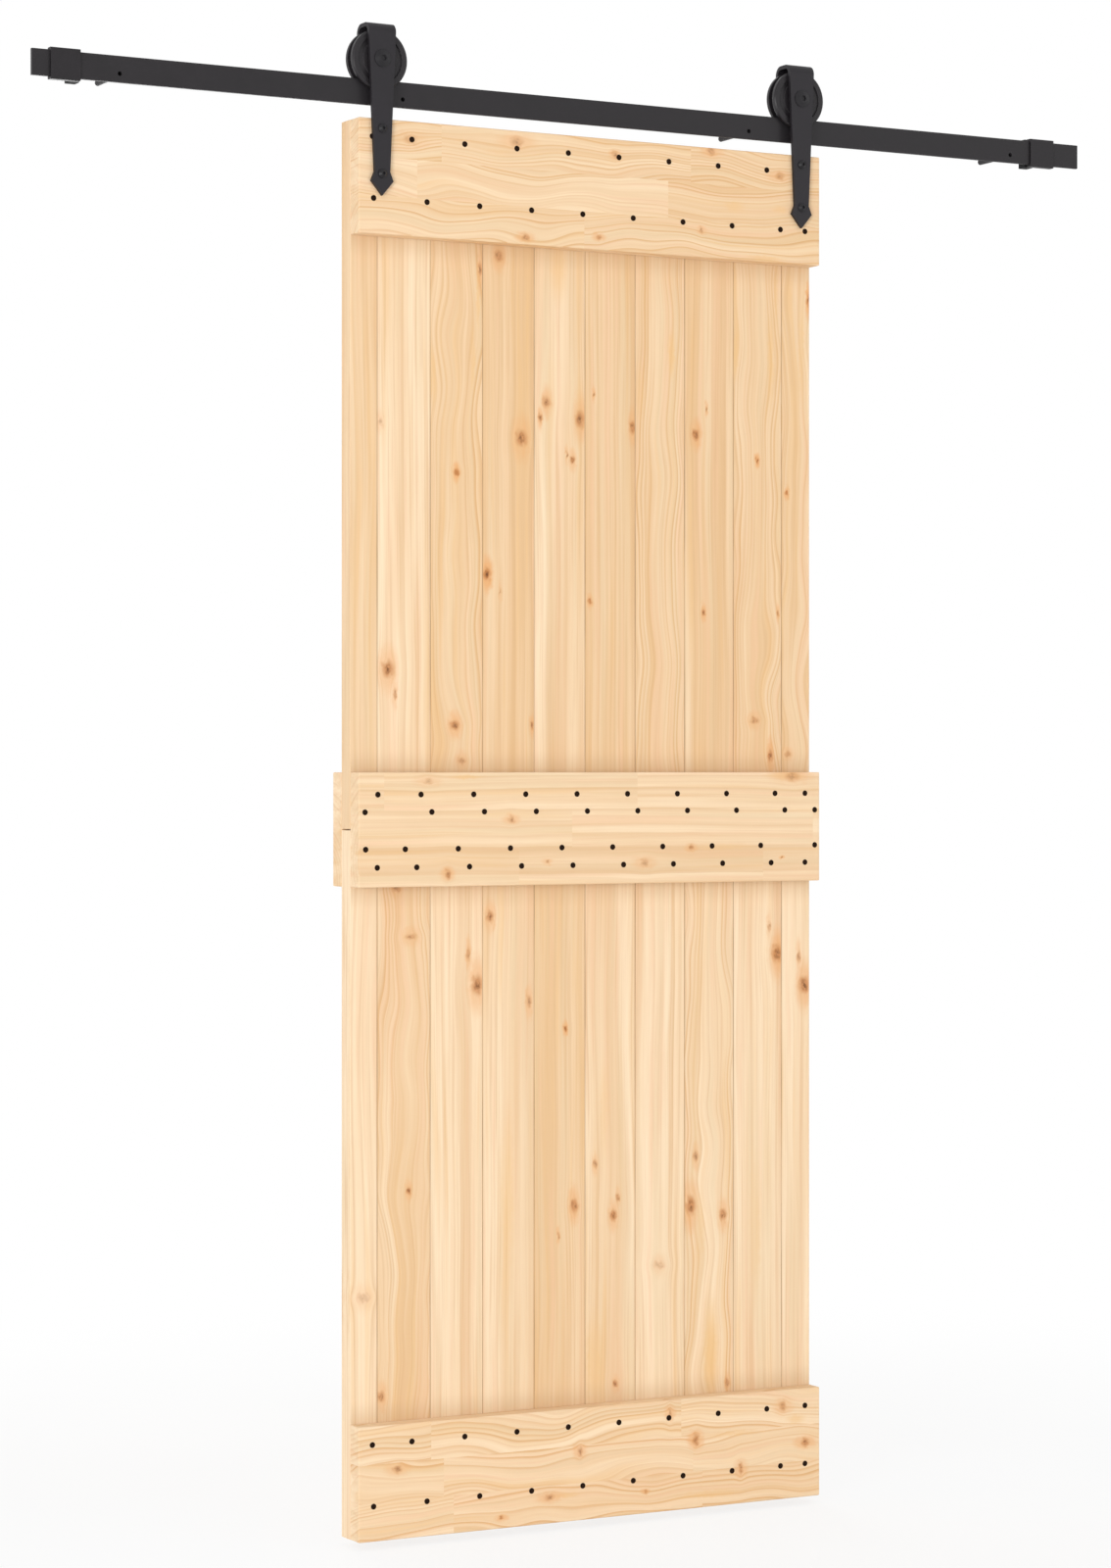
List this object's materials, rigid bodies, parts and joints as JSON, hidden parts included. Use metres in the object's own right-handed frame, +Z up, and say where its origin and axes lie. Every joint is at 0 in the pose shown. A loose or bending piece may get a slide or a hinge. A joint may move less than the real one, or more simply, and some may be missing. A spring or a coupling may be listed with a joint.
{
  "type": "sliding barn door",
  "caption": "Plank door leaf with horizontal boards, hung by bent strap hangers and grooved wheels on a flat wall track, sliding between end stops.",
  "frame": {"origin": "centre of the wall face of the left inner stand-off, on the track's line of fixings", "axes": "+X along the track to the right as seen from the front, +Y from the door into the wall, +Z up"},
  "size_m": [1.81, 0.1085, 2.2418],
  "materials": {
    "pine_planks": "planed, untreated",
    "pine_boards": "planed, untreated",
    "track_steel": "matte black",
    "stop_steel": "matte black",
    "strap_steel": "matte black",
    "wheel_steel": "satin black",
    "bolt_steel": "satin black",
    "buffer_rubber": "matte"
  },
  "bodies": {
    "track": {"track_bar": "track_steel", "spacer_outer_left": "track_steel", "spacer_inner_left": "track_steel", "spacer_inner_right": "track_steel", "spacer_outer_right": "track_steel", "end_stop_left": "stop_steel", "buffer_left": "buffer_rubber", "end_stop_right": "stop_steel", "buffer_right": "buffer_rubber"},
    "door_leaf": {"upper_plank_01": "pine_planks", "upper_plank_02": "pine_planks", "upper_plank_03": "pine_planks", "upper_plank_04": "pine_planks", "upper_plank_05": "pine_planks", "upper_plank_06": "pine_planks", "upper_plank_07": "pine_planks", "upper_plank_08": "pine_planks", "upper_plank_09": "pine_planks", "upper_plank_10": "pine_planks", "lower_plank_01": "pine_planks", "lower_plank_02": "pine_planks", "lower_plank_03": "pine_planks", "lower_plank_04": "pine_planks", "lower_plank_05": "pine_planks", "lower_plank_06": "pine_planks", "lower_plank_07": "pine_planks", "lower_plank_08": "pine_planks", "lower_plank_09": "pine_planks", "lower_plank_10": "pine_planks", "top_board": "pine_boards", "middle_board": "pine_boards", "bottom_board": "pine_boards", "back_board": "pine_boards", "hanger_strap_left": "strap_steel", "axle_bolt_left": "bolt_steel", "axle_nut_left": "bolt_steel", "strap_bolts_left": "bolt_steel", "strap_nuts_left": "bolt_steel", "hanger_strap_right": "strap_steel", "axle_bolt_right": "bolt_steel", "axle_nut_right": "bolt_steel", "strap_bolts_right": "bolt_steel", "strap_nuts_right": "bolt_steel"},
    "wheel_left": {"wheel_left": "wheel_steel"},
    "wheel_right": {"wheel_right": "wheel_steel"}
  },
  "joints": [
    {"name": "door_slide", "type": "slide", "parent": "track", "child": "door_leaf", "axis": [1, 0, 0], "range_m": [-0.415, 0.392]},
    {"name": "wheel_left_roll", "type": "hinge", "parent": "door_leaf", "child": "wheel_left", "pos_m": [-0.042, -0.08275, 0.0548], "axis": [0, 1, 0], "range_deg": [-821, 776]},
    {"name": "wheel_right_roll", "type": "hinge", "parent": "door_leaf", "child": "wheel_right", "pos_m": [0.686, -0.08275, 0.0548], "axis": [0, 1, 0], "range_deg": [-821, 776]}
  ],
  "couplings": [
    {"joint": "wheel_left_roll", "follows": "door_slide", "rad_per_m": 34.483},
    {"joint": "wheel_right_roll", "follows": "door_slide", "rad_per_m": 34.483}
  ]
}
